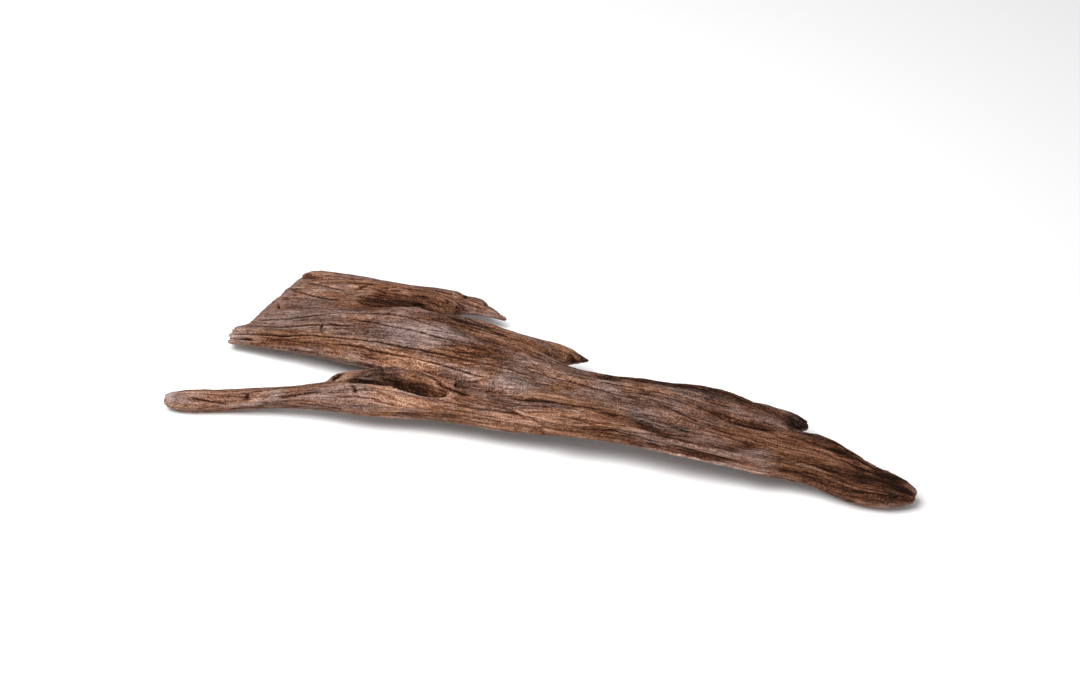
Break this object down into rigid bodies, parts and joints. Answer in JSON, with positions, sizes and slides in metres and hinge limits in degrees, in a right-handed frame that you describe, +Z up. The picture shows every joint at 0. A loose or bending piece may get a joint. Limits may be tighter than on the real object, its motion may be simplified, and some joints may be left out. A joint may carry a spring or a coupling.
{
  "type": "piece of driftwood",
  "caption": "Weathered piece of driftwood: a trunk that opens into a broad split slab, with a long side branch, torn splinters, a knot hollow and a blunt nose.",
  "frame": {"origin": "on the surface it rests on, under the middle of its bounding box", "axes": "+X along the trunk from the side branch's tip to the nose, +Y towards the slab's far rib, +Z up"},
  "size_m": [0.597, 0.1872, 0.0479],
  "materials": {
    "weathered_wood": "dry, matt, deeply grained and cracked"
  },
  "bodies": {
    "root": {"driftwood": "weathered_wood"}
  },
  "joints": []
}
